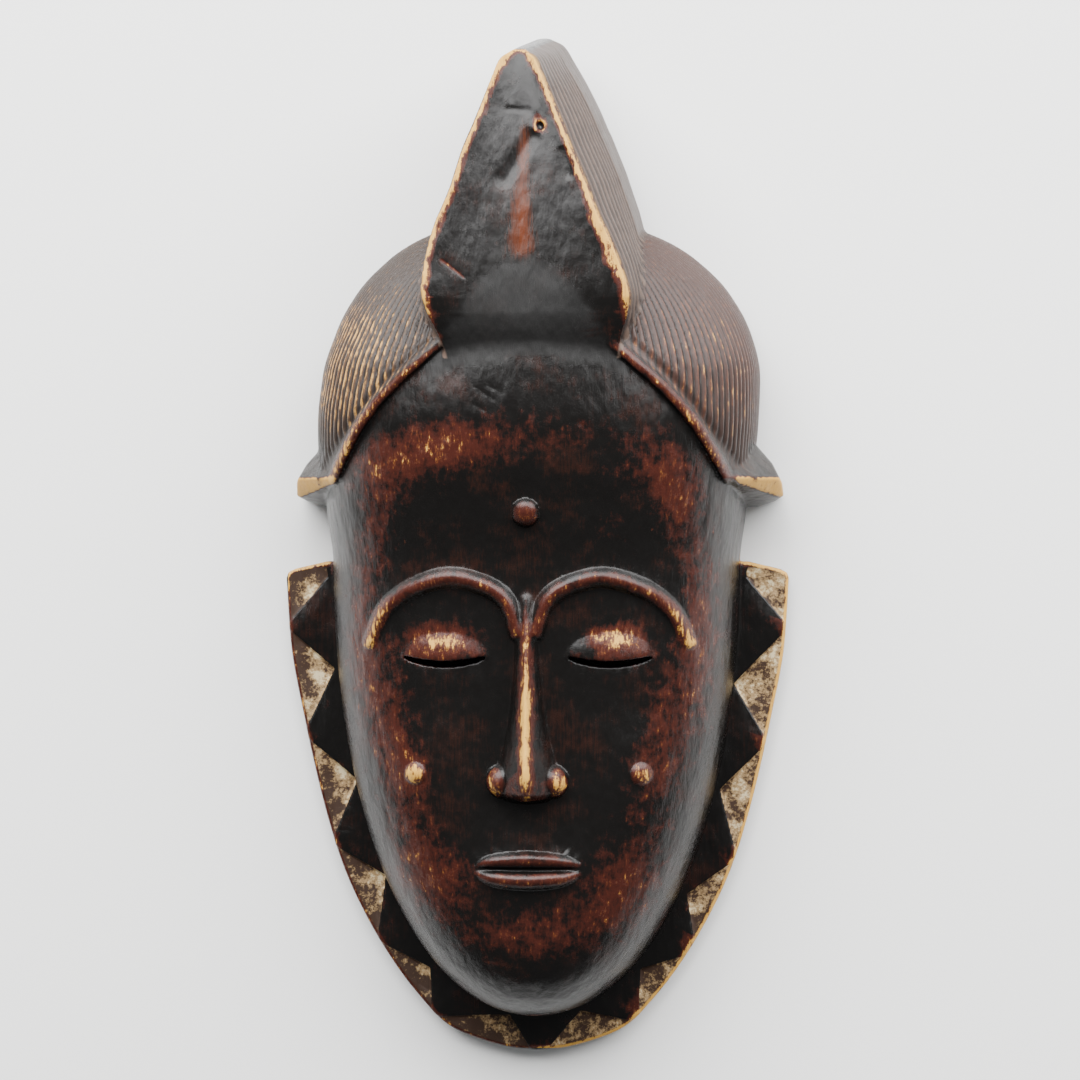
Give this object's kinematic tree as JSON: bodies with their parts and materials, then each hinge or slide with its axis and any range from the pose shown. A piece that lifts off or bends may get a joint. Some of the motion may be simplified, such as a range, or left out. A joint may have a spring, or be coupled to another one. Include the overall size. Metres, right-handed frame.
{
  "type": "african mask",
  "caption": "Carved wooden face mask with a tall grooved crest, ridged hair, a triangle-cut border and a hollow back.",
  "frame": {"origin": "middle of the outline on the rim plane, with the mask lying on its back rim", "axes": "+X to the viewer's right, +Y from the chin to the crest, +Z out of the face"},
  "size_m": [0.1888, 0.378, 0.0816],
  "materials": {
    "stained_wood": "dark stain, worn through to pale wood on edges and ridges, half gloss"
  },
  "bodies": {
    "root": {"mask": "stained_wood"}
  },
  "joints": []
}
